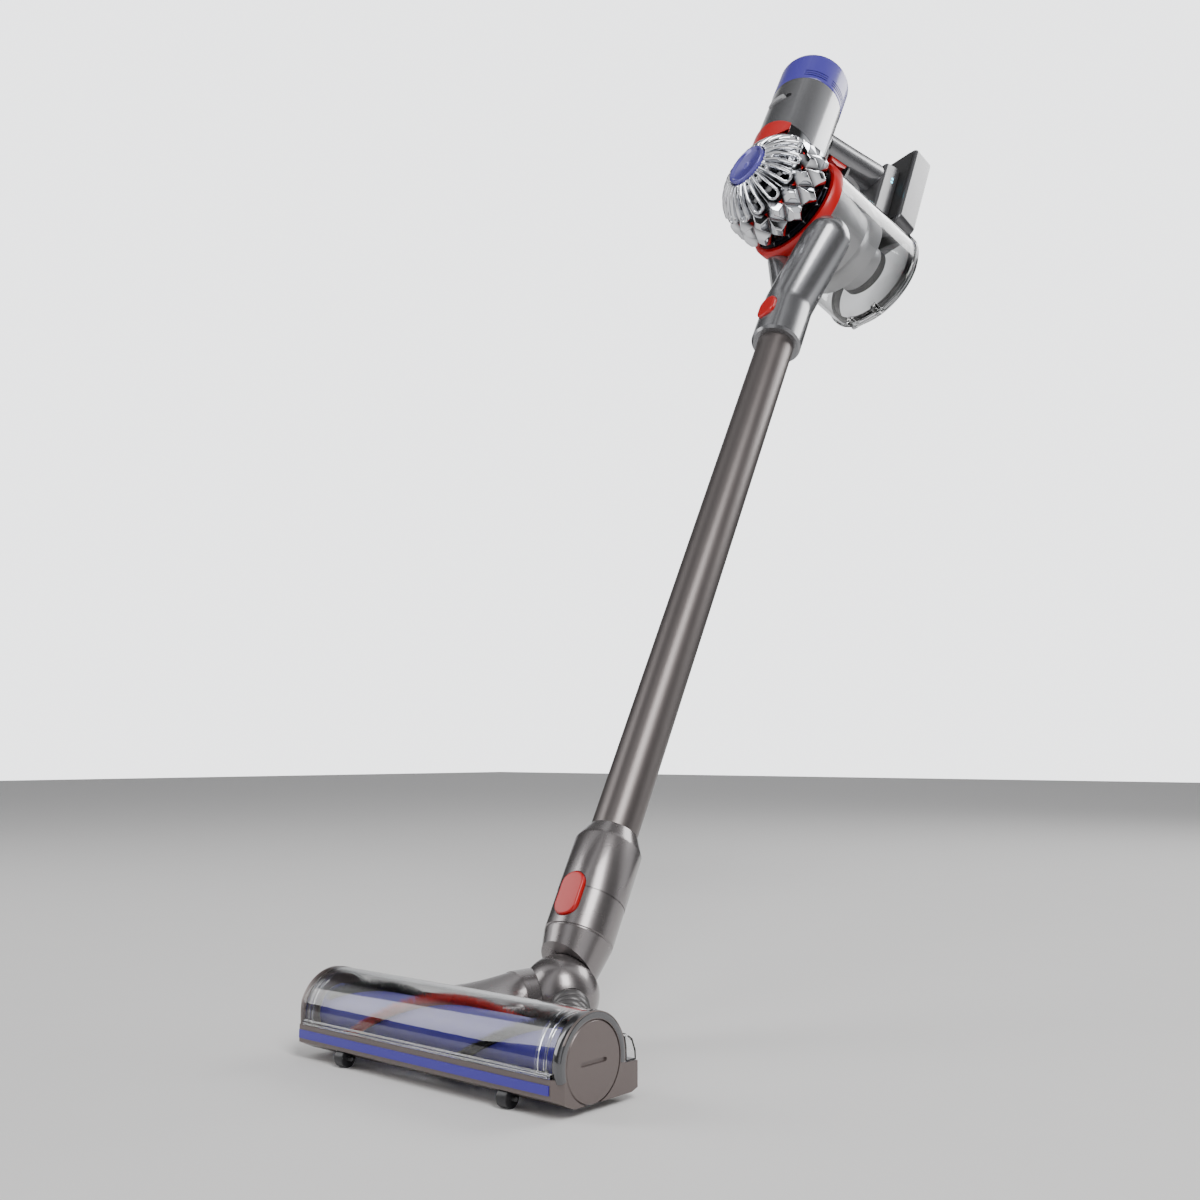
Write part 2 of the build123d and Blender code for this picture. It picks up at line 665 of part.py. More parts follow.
with BuildPart() as filter_cap:
    revolve(outline(section(motor_frame), (motor_radius - 2.6, motor_high + 0.3),
        (motor_radius + 0.6, motor_high + 0.3), (motor_radius + 0.6, filter_high - 4),
        (motor_radius - 2, filter_high), (motor_radius - 8, filter_high - 1.5), (0, filter_high - 3),
        (0, filter_high - 5.5), (motor_radius - 5, filter_high - 4.5), (motor_radius - 2.6, filter_high - 7)),
        axis=axis_of(motor_frame))
save(filter_cap, "filter_cap")

with BuildPart() as filter_media:
    revolve(outline(section(motor_frame), (20, motor_high + 2), (33, motor_high + 2), (33, filter_high - 8),
        (20, filter_high - 8)), axis=axis_of(motor_frame))
save(filter_media, "filter_media")

# Handle and trigger

def grip_profile(inset):
    # Half the grip's outline: radius against distance from its front end.
    return outline(section(handle_frame), (0, -24), (16.2 - inset, -24), (16.8 - inset, 15),
        (18.2 - inset, grip_end), (0, grip_end))


side_cut = Plane(handle_frame.origin, x_dir=handle_frame.z_dir, z_dir=handle_frame.x_dir)
for name, keep in (("handle_right", Keep.TOP), ("handle_left", Keep.BOTTOM)):
    with BuildPart() as shell:
        revolve(grip_profile(0), axis=axis_of(handle_frame))
        revolve(grip_profile(2.4), axis=axis_of(handle_frame), mode=Mode.SUBTRACT)
        split(bisect_by=side_cut, keep=keep)
        extrude(disc(motor_frame.offset(860), motor_radius + 0.05), amount=200, mode=Mode.SUBTRACT)
        split(bisect_by=Plane(wand.from_local_coords(Vector(0, base_front - 0.1, 0)), x_dir=wand.x_dir,
                              z_dir=wand.y_dir), keep=Keep.BOTTOM)
        with BuildSketch(shifted(handle_frame, y=14, z=-24)):
            Rectangle(14.8, 16)
        extrude(amount=34, mode=Mode.SUBTRACT)
    save(shell, name)

with BuildPart() as trigger:
    with BuildSketch(Plane(handle_frame.from_local_coords(Vector(-6.9, 0, 0)), x_dir=handle_frame.z_dir,
                           z_dir=handle_frame.x_dir)):
        with BuildLine():
            Polyline((-17, -8), (-17, -20), (-8, -23.5), (4, -21), (8, -16.5), (8, -8), close=True)
        make_face()
    extrude(amount=13.8)
save(trigger, "trigger")

mid_plane = Plane(wand.origin, x_dir=wand.y_dir, z_dir=wand.x_dir)


def wand_profile(x, *points):
    # A closed face across the wand's side at x, through (back, up) points.
    return outline(mid_plane.offset(x), *points)


with BuildPart() as body_spine:
    extrude(wand_profile(-11, (-24, 925), (-4, 925), (-6, 942), (-20.5, 958), (-20.5, 984), (-28, 984),
        (-28, 925)), amount=22)
    extrude(wand_profile(-8, (-24, 940), (-6, 940), (7, 954), (14, 970), (16, 990), (13, 989), (11, 971),
        (4.5, 957), (-8, 946), (-24, 946)), amount=16)
    extrude(disc(motor_frame.offset(860), motor_radius + 0.05), amount=200, mode=Mode.SUBTRACT)
    revolve(grip_profile(-0.05), axis=axis_of(handle_frame), mode=Mode.SUBTRACT)
    revolve(clear_of_cyclone(), axis=axis_of(bin_frame), mode=Mode.SUBTRACT)
    with BuildSketch(shifted(bin_frame, y=-61.5, z=-40)):
        Rectangle(rail_width + 1, 14)
    extrude(amount=60, mode=Mode.SUBTRACT)
save(body_spine, "body_spine")

with BuildPart() as trigger_switch:
    with BuildSketch(shifted(handle_frame, y=-3, z=-8)):
        Rectangle(7, 12)
    extrude(amount=16)
save(trigger_switch, "trigger_switch")

# Battery

base_half_width = 19.0
with BuildPart() as battery_base:
    extrude(wand_profile(-base_half_width, (base_front, 960), (base_front, 1040), (70, 1049),
        (slab_front - 1.7, 1051), (slab_front - 1.7, 955), (60, 953)), amount=2 * base_half_width)
    fillet(battery_base.edges().filter_by(Axis(wand.origin, wand.z_dir)), 3)
    for height in (1019, 1025):
        centre = wand.from_local_coords(Vector(base_half_width - 2, 68, height))
        extrude(disc(Plane(centre, x_dir=wand.y_dir, z_dir=wand.x_dir), 1.5), amount=5, mode=Mode.SUBTRACT)
save(battery_base, "battery_base")


def slab_face(inset, y_low):
    # The battery's rounded plan, seen from the handle.
    with BuildSketch(Plane(wand.from_local_coords(Vector(0, y_low, (slab_low + slab_high) / 2)),
            x_dir=wand.x_dir, z_dir=wand.y_dir)) as face:
        RectangleRounded(2 * (slab_half_width - inset), slab_high - slab_low - 2 * inset, 9 - inset / 2)
    return face.sketch


with BuildPart() as battery_gasket:
    extrude(slab_face(5, slab_front - 1.6), amount=1.5)
save(battery_gasket, "battery_gasket")

battery_wall = 2.5
socket_bore = 2.75
socket_depth = 9.0
socket_plane = Plane(wand.from_local_coords(Vector(0, slab_back, slab_low + 7.2)), x_dir=wand.x_dir,
    z_dir=-wand.y_dir)

with BuildPart() as battery_pack:
    extrude(slab_face(0, slab_front), amount=slab_back - slab_front)
    for end in (0, -1):
        fillet(battery_pack.faces().sort_by(Axis(wand.origin, wand.y_dir))[end].edges(), 2.5)
    extrude(slab_face(battery_wall, slab_front + battery_wall),
        amount=slab_back - slab_front - 2 * battery_wall, mode=Mode.SUBTRACT)
    extrude(disc(socket_plane, 4.5), amount=socket_depth + 0.6)
    extrude(disc(socket_plane, socket_bore), amount=socket_depth, mode=Mode.SUBTRACT)
save(battery_pack, "battery_pack")

with BuildPart() as battery_cells:
    for row in range(6):
        centre = wand.from_local_coords(Vector(-32, (slab_front + slab_back) / 2, slab_low + 21 + 19.2 * row))
        extrude(disc(Plane(centre, x_dir=wand.y_dir, z_dir=wand.x_dir), 9.1), amount=64)
save(battery_cells, "battery_cells")

with BuildPart() as status_leds:
    for height in (1019, 1025):
        centre = wand.from_local_coords(Vector(base_half_width - 2, 68, height))
        extrude(disc(Plane(centre, x_dir=wand.y_dir, z_dir=wand.x_dir), 1.45), amount=2.4)
save(status_leds, "status_leds")
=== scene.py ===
import json
import math
import bmesh
import bpy
import numpy as np
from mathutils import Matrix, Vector


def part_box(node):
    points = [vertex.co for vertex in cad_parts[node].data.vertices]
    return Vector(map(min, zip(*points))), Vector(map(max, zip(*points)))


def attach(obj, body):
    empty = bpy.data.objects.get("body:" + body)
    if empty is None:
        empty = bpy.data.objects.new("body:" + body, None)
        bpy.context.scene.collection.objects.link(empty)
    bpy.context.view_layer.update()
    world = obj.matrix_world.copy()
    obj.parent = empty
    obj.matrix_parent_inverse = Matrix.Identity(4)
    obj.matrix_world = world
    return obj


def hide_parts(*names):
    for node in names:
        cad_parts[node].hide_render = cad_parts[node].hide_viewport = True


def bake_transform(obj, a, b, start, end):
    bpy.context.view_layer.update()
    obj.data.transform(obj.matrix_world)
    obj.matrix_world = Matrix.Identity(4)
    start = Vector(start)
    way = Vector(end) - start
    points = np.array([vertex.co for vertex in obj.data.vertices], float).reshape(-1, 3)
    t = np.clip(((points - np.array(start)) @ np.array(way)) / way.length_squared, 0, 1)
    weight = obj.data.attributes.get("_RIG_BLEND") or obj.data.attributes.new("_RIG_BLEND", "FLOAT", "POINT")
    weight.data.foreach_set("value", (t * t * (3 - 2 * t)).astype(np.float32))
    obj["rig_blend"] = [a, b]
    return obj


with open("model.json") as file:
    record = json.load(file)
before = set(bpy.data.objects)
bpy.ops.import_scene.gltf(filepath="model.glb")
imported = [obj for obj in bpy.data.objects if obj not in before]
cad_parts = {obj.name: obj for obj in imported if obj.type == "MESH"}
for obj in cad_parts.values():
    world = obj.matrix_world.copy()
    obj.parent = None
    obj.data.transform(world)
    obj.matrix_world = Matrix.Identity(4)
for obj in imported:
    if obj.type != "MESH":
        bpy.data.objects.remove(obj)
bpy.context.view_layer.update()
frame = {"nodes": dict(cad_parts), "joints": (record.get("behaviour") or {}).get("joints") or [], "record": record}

nodes = frame["nodes"]
joints = {j["name"]: j for j in frame["joints"]}
bodyOf = {n: b for b, ns in frame["record"]["behaviour"]["bodies"].items() for n in ns}
slotOf = {s["node"]: s["material_slot"] for s in frame["record"]["subparts"]}
mm = 0.001
print("frame loaded:", len(nodes), "nodes")


# ---- places, all read from the frame

def unit(v):
    v = np.array(v, float)
    return v / np.linalg.norm(v)


class Place:
    # An origin with three axes at right angles; at() takes points in its own axes to the frame.
    def __init__(self, origin, side, back, along):
        self.origin = np.array(origin, float)
        self.axes = np.array([unit(side), unit(back), unit(along)])

    def at(self, points):
        return self.origin + np.asarray(points, float) @ self.axes


wandAxis = unit(joints["slider_shift"]["axis"])
backAxis = unit(joints["upper_button_press"]["axis"])
sideAxis = np.cross(backAxis, wandAxis)
binAxis = unit(joints["rod_push"]["axis"])
pivot = np.array(joints["neck_swivel"]["pos_m"])
wandPlace = Place(pivot, sideAxis, backAxis, wandAxis)
binPlace = Place(wandPlace.at((0, 0, 0.870)), sideAxis, np.cross(binAxis, sideAxis), binAxis)
motorPlace = Place(wandPlace.at((0, -0.0615, 0)), sideAxis, backAxis, wandAxis)
rollPlace = Place(joints["roll_spin"]["pos_m"], (0, 1, 0), (0, 0, 1), (1, 0, 0))


# ---- shader groups

def newGroup(name, inputs, outputs):
    # An empty node group with named sockets, and its two end nodes.
    group = bpy.data.node_groups.new(name, "ShaderNodeTree")
    for label, kind, value in inputs:
        socket = group.interface.new_socket(label, in_out="INPUT", socket_type=kind)
        socket.default_value = value
    for label, kind in outputs:
        group.interface.new_socket(label, in_out="OUTPUT", socket_type=kind)
    return group, group.nodes.new("NodeGroupInput"), group.nodes.new("NodeGroupOutput")


def mathNode(tree, operation, a, b):
    # One sum of two things, each a number or another node's output.
    node = tree.nodes.new("ShaderNodeMath")
    node.operation = operation
    for socket, value in zip(node.inputs, (a, b)):
        if isinstance(value, (int, float)):
            socket.default_value = value
        else:
            tree.links.new(value, socket)
    return node.outputs[0]


def mixColour(tree, factor, a, b):
    # Colour a where the factor is 0 and colour b where it is 1.
    node = tree.nodes.new("ShaderNodeMix")
    node.data_type = "RGBA"
    for socket, value in ((node.inputs[0], factor), (node.inputs[6], a), (node.inputs[7], b)):
        if isinstance(value, (int, float)) or isinstance(value, tuple):
            socket.default_value = value
        else:
            tree.links.new(value, socket)
    return node.outputs[2]


def noise(tree, vector, scale, detail=4.0):
    # Fractal noise between 0 and 1 at a point.
    node = tree.nodes.new("ShaderNodeTexNoise")
    node.inputs["Detail"].default_value = detail
    if isinstance(scale, (int, float)):
        node.inputs["Scale"].default_value = scale
    else:
        tree.links.new(scale, node.inputs["Scale"])
    tree.links.new(vector, node.inputs["Vector"])
    return node.outputs["Fac"]


def makeFinishGroup():
    # Moulded or coated skin: fine grain, slow mottling of the colour and faint wiped smears in the gloss.
    group, inp, out = newGroup("skinFinish", [
        ("Colour", "NodeSocketColor", (0.5, 0.5, 0.5, 1)), ("Roughness", "NodeSocketFloat", 0.3),
        ("Grain Scale", "NodeSocketFloat", 900.0), ("Mottle", "NodeSocketFloat", 0.06),
        ("Smear", "NodeSocketFloat", 0.06), ("Grain", "NodeSocketFloat", 0.3)],
        [("Colour", "NodeSocketColor"), ("Roughness", "NodeSocketFloat"), ("Height", "NodeSocketFloat")])
    vector = group.nodes.new("ShaderNodeTexCoord").outputs["Object"]
    fine = noise(group, vector, inp.outputs["Grain Scale"], 2.0)
    slow = noise(group, vector, 14.0, 3.0)
    smear = noise(group, vector, 42.0, 5.0)
    light = mathNode(group, "MULTIPLY_ADD", mathNode(group, "SUBTRACT", slow, 0.5), inp.outputs["Mottle"])
    light.node.inputs[2].default_value = 1.0
    scaled = group.nodes.new("ShaderNodeVectorMath")
    scaled.operation = "SCALE"
    group.links.new(inp.outputs["Colour"], scaled.inputs[0])
    group.links.new(light, scaled.inputs["Scale"])
    group.links.new(scaled.outputs[0], out.inputs["Colour"])
    worn = mathNode(group, "MULTIPLY", mathNode(group, "SUBTRACT", smear, 0.5), inp.outputs["Smear"])
    group.links.new(mathNode(group, "ADD", inp.outputs["Roughness"], worn), out.inputs["Roughness"])
    group.links.new(mathNode(group, "MULTIPLY", fine, inp.outputs["Grain"]), out.inputs["Height"])
    return group


skinGroup = makeFinishGroup()


def setSockets(shader, **values):
    # Constant values on a node's own sockets, with _ for a space in a name.
    for label, value in values.items():
        shader.inputs[label.replace("_", " ")].default_value = value


def makeMaterial(name, colour, roughness, metallic=0.0, grainScale=900.0, mottle=0.06, smear=0.06, grain=0.3,
                 bump=0.02, **sockets):
    # A principled shader fed by the skin group; constant values sit on its own sockets.
    material = bpy.data.materials.new(name)
    material.use_nodes = True
    tree = material.node_tree
    shader = tree.nodes["Principled BSDF"]
    skin = tree.nodes.new("ShaderNodeGroup")
    skin.node_tree = skinGroup
    setSockets(skin, Colour=(*colour, 1), Roughness=roughness, Grain_Scale=grainScale, Mottle=mottle,
        Smear=smear, Grain=grain)
    tree.links.new(skin.outputs["Colour"], shader.inputs["Base Color"])
    tree.links.new(skin.outputs["Roughness"], shader.inputs["Roughness"])
    bumper = tree.nodes.new("ShaderNodeBump")
    bumper.inputs["Strength"].default_value = bump
    bumper.inputs["Distance"].default_value = 0.0006
    tree.links.new(skin.outputs["Height"], bumper.inputs["Height"])
    tree.links.new(bumper.outputs[0], shader.inputs["Normal"])
    setSockets(shader, Metallic=metallic, **sockets)
    return material


def makeClear(name, colour, roughness=0.02, ior=1.45):
    # Clear moulded plastic, with faint handling marks in its gloss.
    return makeMaterial(name, colour, roughness, mottle=0.02, smear=0.03, grain=0.1, bump=0.005,
                        Transmission_Weight=1.0, IOR=ior)


def makePaintedShadeMaterial(name, high, low, roughness, metallic, paintedReflectionColour=None, **sockets):
    # Two colours by the mesh's own rise attribute: painted shade in the dark colour on low ground and the plain
    # colour on high ground; a third colour, where given, is a painted reflection laid on by a second attribute.
    material = makeMaterial(name, high, roughness, metallic, mottle=0.03, smear=0.02, grain=0.05, bump=0.005,
        **sockets)
    tree = material.node_tree
    shader = tree.nodes["Principled BSDF"]
    skinColour = shader.inputs["Base Color"].links[0].from_socket
    rise = tree.nodes.new("ShaderNodeAttribute")
    rise.attribute_name = "rise"
    # Painted shade: the low colour is laid on the mesh where its rise is small.
    colour = mixColour(tree, rise.outputs["Fac"], (*low, 1), skinColour)
    if paintedReflectionColour:
        # Painted reflection: the third colour is laid on where the second attribute is set.
        paintedReflectionMask = tree.nodes.new("ShaderNodeAttribute")
        paintedReflectionMask.attribute_name = "paintedReflectionMask"
        colour = mixColour(tree, paintedReflectionMask.outputs["Fac"], colour, (*paintedReflectionColour, 1))
    tree.links.new(colour, shader.inputs["Base Color"])
    return material


materials = {"silver_plastic": makeMaterial("silverPlastic", (0.25, 0.25, 0.26), 0.24, 0.75, Coat_Weight=0.6,
    Coat_Roughness=0.08), "nickel_plastic": makeMaterial("nickelPlastic", (0.245, 0.225, 0.225), 0.27, 0.78,
    Coat_Weight=0.5, Coat_Roughness=0.1), "tube_metal": makeMaterial("wandMetal", (0.185, 0.165, 0.16), 0.36,
    0.85, grainScale=2200, bump=0.05), "taupe_plastic": makeMaterial("taupePlastic", (0.155, 0.125, 0.118),
    0.36, 0.4, grainScale=1600, bump=0.08, Coat_Weight=0.25, Coat_Roughness=0.2),
    "violet_plastic": makeMaterial("violetPlastic", (0.045, 0.028, 0.36), 0.36, 0.0, bump=0.04,
    Coat_Weight=0.25, Coat_Roughness=0.12), "red_plastic": makeMaterial("redPlastic", (0.52, 0.0015, 0.002),
    0.34, 0.0, Coat_Weight=0.25, Coat_Roughness=0.16), "chrome": makeMaterial("brightChrome",
    (0.80, 0.81, 0.83), 0.06, 1.0, mottle=0.02, smear=0.03, bump=0.0),
    "clear_plastic": makeClear("clearPlastic", (0.985, 0.99, 0.992)),
    "pale_plastic": makeMaterial("palePlastic", (0.42, 0.42, 0.43), 0.33, 0.2, bump=0.05),
    "black_plastic": makeMaterial("blackPlastic", (0.018, 0.018, 0.02), 0.38, bump=0.08),
    "graphite_plastic": makeMaterial("graphitePlastic", (0.115, 0.115, 0.12), 0.3, 0.6, bump=0.05,
    Coat_Weight=0.4, Coat_Roughness=0.12), "seal_rubber": makeMaterial("sealRubber", (0.016, 0.016, 0.016),
    0.62, grainScale=700, bump=0.15), "black_bristle": makeMaterial("blackBristle", (0.012, 0.012, 0.012),
    0.45, mottle=0.4), "red_bristle": makeMaterial("redBristle", (0.60, 0.016, 0.012), 0.42, mottle=0.4),
    "steel": makeMaterial("brushedSteel", (0.45, 0.45, 0.46), 0.3, 1.0, grainScale=1500, bump=0.06),
    "inner_parts": makeMaterial("innerParts", (0.05, 0.08, 0.06), 0.5),
    "filter_felt": makeMaterial("filterFelt", (0.75, 0.75, 0.72), 0.9, grainScale=500, bump=0.4),
    "blue_light": makeMaterial("statusLight", (0.15, 0.7, 0.95), 0.3, Emission_Color=(0.12, 0.75, 1.0, 1),
    Emission_Strength=5.0), }
hoseMaterial = makeMaterial("hoseSkin", (0.12, 0.115, 0.115), 0.36, 0.55, grainScale=900, bump=0.1)
ringMaterial = makeClear("clearRing", (0.95, 0.955, 0.96), 0.05)
darkRingMaterial = makeMaterial("smokedRing", (0.10, 0.10, 0.105), 0.12, 0.7, Coat_Weight=1.0,
    Coat_Roughness=0.03)
print("materials made:", len(bpy.data.materials))


# ---- mesh making

def meshFrom(name, points, quads, body, material, attributes=None, sharpAngle=None):
    # Builds a mesh from arrays, merges coincident points, turns its faces outwards and hangs it on a body.
    mesh = bpy.data.meshes.new(name)
    mesh.from_pydata(np.asarray(points, float).tolist(), [], np.asarray(quads).tolist())
    for label, values in (attributes or {}).items():
        mesh.attributes.new(label, "FLOAT", "POINT").data.foreach_set("value",
            np.asarray(values, np.float32).ravel())
    work = bmesh.new()
    work.from_mesh(mesh)
    bmesh.ops.remove_doubles(work, verts=work.verts, dist=2e-6)
    bmesh.ops.dissolve_degenerate(work, edges=work.edges, dist=1e-7)
    if work.calc_volume(signed=True) < 0:
        bmesh.ops.reverse_faces(work, faces=work.faces)
    work.to_mesh(mesh)
    work.free()
    mesh.shade_smooth()
    if sharpAngle:
        mesh.set_sharp_from_angle(angle=math.radians(sharpAngle))
    mesh.materials.append(material)
    piece = bpy.data.objects.new(name, mesh)
    bpy.context.scene.collection.objects.link(piece)
    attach(piece, body)
    return piece


def gridQuads(rows, columns, closeRows=False, closeColumns=False):
    # Quads of a grid whose points run row by row; a closed direction joins its last line to its first.
    r = np.arange(rows if closeRows else rows - 1)
    c = np.arange(columns if closeColumns else columns - 1)
    i, j = np.meshgrid(r, c, indexing="ij")
    i2, j2 = (i + 1) % rows, (j + 1) % columns
    return np.stack([i * columns + j, i * columns + j2, i2 * columns + j2, i2 * columns + j], -1).reshape(-1,
        4)


def turned(place, radius, height, angles):
    # Radius and height, each one value or one for each angle, carried round the place's own axis.
    x = radius * np.cos(angles)
    y = radius * np.sin(angles)
    return place.at(np.stack(np.broadcast_arrays(x, y, height), -1) * mm)


def lathe(name, place, profile, body, material, segments=128, sharpAngle=32, arc=None):
    # A closed outline of radius and height turned round an axis, or through an arc with closed ends.
    outline = np.array(profile, float)
    if arc:
        angles = np.radians(np.linspace(arc[0], arc[1], segments))
    else:
        angles = np.linspace(0, 2 * np.pi, segments, endpoint=False)
    points = turned(place, outline[:, 0][:, None], outline[:, 1][:, None], angles[None])
    quads = gridQuads(len(outline), segments, True, not arc).tolist()
    if arc:
        quads.append([i * segments for i in range(len(outline))])
        quads.append([i * segments + segments - 1 for i in range(len(outline) - 1, -1, -1)])
    return meshFrom(name, points.reshape(-1, 3), np.array(quads, dtype=object), body, material,
                    sharpAngle=sharpAngle)


def rounded(points, radius, steps=5):
    # The outline with each corner replaced by a short parabola between points a radius away on its two sides.
    pts = np.array(points, float)
    before, after = np.roll(pts, 1, 0) - pts, np.roll(pts, -1, 0) - pts
    lengthA, lengthB = np.linalg.norm(before, axis=1), np.linalg.norm(after, axis=1)
    reach = np.minimum(radius, 0.45 * np.minimum(lengthA, lengthB))[:, None]
    a = pts + before / lengthA[:, None] * reach
    b = pts + after / lengthB[:, None] * reach
    t = np.linspace(0, 1, steps)[None, :, None]
    curve = a[:, None] * (1 - t) ** 2 + 2 * pts[:, None] * t * (1 - t) + b[:, None] * t ** 2
    return curve.reshape(-1, 2)


def smoothCopy(name, angle=38.0):
    # A merged copy of a CAD node that shades smoothly over its curved faces.
    source = nodes[name]
    mesh = source.data.copy()
    work = bmesh.new()
    work.from_mesh(mesh)
    bmesh.ops.remove_doubles(work, verts=work.verts, dist=2e-6)
    work.to_mesh(mesh)
    work.free()
    for layer in list(mesh.attributes):
        if layer.name == "custom_normal":
            mesh.attributes.remove(layer)
    mesh.shade_smooth()
    mesh.set_sharp_from_angle(angle=math.radians(angle))
    mesh.materials.clear()
    mesh.materials.append(materials[slotOf[name]])
    piece = bpy.data.objects.new(name + "Skin", mesh)
    bpy.context.scene.collection.objects.link(piece)
    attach(piece, bodyOf[name])
    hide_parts(name)
    return piece


# ---- cyclone crown: a turned dome whose height field carries two tiers

crown = {"lobes": 15, "centre": -52.0, "reach": 59.2, "rise": 57.0, "power": 2.5, "foot": (54.5, -35.2),
    "mouth": 24.4, "depth": 8.5, "barHalf": 2.5, "barEnd": 34.0, "rowA": 51.0, "rowB": 69.0,
    "rowLength": 17.5, "eyelet": 8.5, "eyeletRadius": 1.5, "eyeletHalf": 0.8, "wall": 9.5,
    "redGlintBand": (58.0, 12.0)}


def crownProfile(count):
    # A superellipse from the mouth down to the widest line, then a parabola in to the foot, evenly spaced.
    turn = np.linspace(0.0, np.pi / 2, 400)
    radius = crown["reach"] * np.sin(turn) ** (2 / crown["power"])
    height = crown["centre"] - crown["rise"] * np.cos(turn) ** (2 / crown["power"])
    keep = radius >= crown["mouth"]
    radius, height = radius[keep], height[keep]
    fall = np.linspace(0, 1, 80)[1:]
    radius = np.r_[radius, crown["reach"] - (crown["reach"] - crown["foot"][0]) * fall ** 2]
    height = np.r_[height, crown["centre"] + (crown["foot"][1] - crown["centre"]) * fall]
    walk = np.r_[0, np.cumsum(np.hypot(np.diff(radius), np.diff(height)))]
    even = np.linspace(0, walk[-1], count)
    return np.interp(even, walk, radius), np.interp(even, walk, height), even


def crownHeight(sector, walk, radius):
    # Upper tier: a round bar bent into a long horseshoe in each sector, with an eyelet near the mouth.
    # Lower tier: two staggered rows of flat-faced diamonds. The height is 0 on top and -depth on the ground.
    pitch = 2 * np.pi * radius / crown["lobes"]
    across = sector * pitch
    half = 0.25 * pitch
    past = np.maximum(walk - crown["barEnd"], 0)
    away = np.abs(np.hypot(across, past) - half)
    bar = np.sqrt(np.clip(1 - (away / crown["barHalf"]) ** 2, 0, 1))
    tier = np.clip((crown["barEnd"] + 10 - walk) / 3, 0, 1)
    eyelet = np.abs(np.hypot(across, walk - crown["eyelet"]) - crown["eyeletRadius"])
    eye = np.sqrt(np.clip(1 - (eyelet / crown["eyeletHalf"]) ** 2, 0, 1)) * 0.8
    shifted = np.where(sector < 0, sector + 0.5, sector - 0.5) * pitch
    facetA = 1.15 - np.abs(shifted) / (0.5 * pitch) - np.abs(walk - crown["rowA"]) / crown["rowLength"]
    facetB = 1.2 - np.abs(across) / (0.5 * pitch) - np.abs(walk - crown["rowB"]) / crown["rowLength"]
    ridge = 0.55 * np.clip(1 - np.abs(shifted) / 1.6, 0, 1) * (walk < crown["rowA"])
    lower = np.clip(np.maximum(facetA, facetB), 0, 1)
    share = np.maximum.reduce([bar * tier, eye * tier, ridge * tier, np.minimum(lower * 1.15, 1.0)])
    return (share - 1) * crown["depth"], share, np.maximum(facetA, facetB)


def makeCrown():
    # The dome's outline turned round the bin's axis, each point moved along the outline's normal by the height.
    columns, rows = 600, 136
    radius, height, walk = crownProfile(rows)
    slopeR, slopeH = np.gradient(radius), np.gradient(height)
    length = np.hypot(slopeR, slopeH)
    normal = np.stack([-slopeH / length, slopeR / length], -1)
    normal *= np.sign(normal[rows // 2, 0])
    angles = np.linspace(0, 2 * np.pi, columns, endpoint=False)
    sector = (angles * crown["lobes"] / (2 * np.pi)) % 1.0 - 0.5
    lift, share, facet = crownHeight(sector[None], walk[:, None], radius[:, None])
    edge = np.clip(np.minimum(walk, walk[-1] - walk) / 2.0, 0, 1)[:, None]
    lift = lift * edge + (edge - 1) * 2.0
    outerR = radius[:, None] + normal[:, 0][:, None] * lift
    outerH = height[:, None] + normal[:, 1][:, None] * lift
    innerR = (radius - normal[:, 0] * crown["wall"])[::-12]
    innerH = (height - normal[:, 1] * crown["wall"])[::-12]
    allR = np.r_[outerR, np.repeat(innerR[:, None], columns, 1)]
    allH = np.r_[outerH, np.repeat(innerH[:, None], columns, 1)]
    # Painted shade: the chrome's base colour goes dark on low ground between bars, eyelets and diamonds.
    rise = np.r_[np.clip(share * 2.2 - 0.25, 0, 1), np.zeros((len(innerR), columns))]
    # Painted reflection: red glints of the ring below, laid on low ground between the diamonds in a band up the
    # dome and in stripes around it.
    low = (np.clip(0.22 - facet, 0, 1) * 6 * (np.abs(walk[:,
        None] - crown["redGlintBand"][0]) < crown["redGlintBand"][1])).clip(0, 1)
    paintedReflectionMask = np.r_[low * (np.abs((angles * 7.5 / np.pi) % 1.0 - 0.5) < 0.3)[None] * 0.9,
        np.zeros((len(innerR), columns))]
    points = turned(binPlace, allR, allH, angles[None])
    # Its second colour is the painted shade on low ground and its third the painted red reflection.
    material = makePaintedShadeMaterial("crownChrome", (0.74, 0.75, 0.78), (0.006, 0.006, 0.008), 0.045, 1.0,
        paintedReflectionColour=(0.25, 0.004, 0.004))
    piece = meshFrom("cycloneCrown", points.reshape(-1, 3), gridQuads(len(allR), columns, True, True),
        "main_body", material, {"rise": rise, "paintedReflectionMask": paintedReflectionMask})
    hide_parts("cyclone_cover")
    return piece


makeCrown()
print("crown made")


# ---- violet disc and filter cap

discShape = {"top": -108.0, "rim": 22.6, "dish": 18.6, "well": 4.6, "depth": 2.6}


def makeDisc():
    # A dished round button: raised lighter rim, shallow dish and a small well at its middle.
    top, rim, dish, well, depth = (discShape[k] for k in ("top", "rim", "dish", "well", "depth"))
    outline = [(0.0, top + depth + 1.3), (well - 1.4, top + depth + 1.3), (well, top + depth),
        (dish - 1.2, top + depth - 0.6), (dish + 0.8, top + 0.5), (dish + 1.6, top), (rim - 0.6, top),
        (rim, top + 0.8), (rim, top + 5.5), (rim - 1.2, top + 6.4), (0.0, top + 6.4)]
    material = makeMaterial("violetDisc", (0.12, 0.10, 0.46), 0.22, 0.35, Coat_Weight=0.8,
        Coat_Roughness=0.06)
    shape = rounded(outline, 0.7, 4)
    shape[:, 0] = np.maximum(shape[:, 0], 0.0)
    piece = lathe("filterDisc", binPlace, shape, "pre_filter", material, 160, 40)
    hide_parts("filter_disc")


capShape = {"low": 1015.4, "high": 1066.0, "radius": 38.9, "wall": 2.6, "slitRows": (1021.5, 1025.5, 1029.5),
            "slitHalf": 0.85, "slitDepth": 1.4, "slitSpans": ((-54, -14), (-6, 33))}


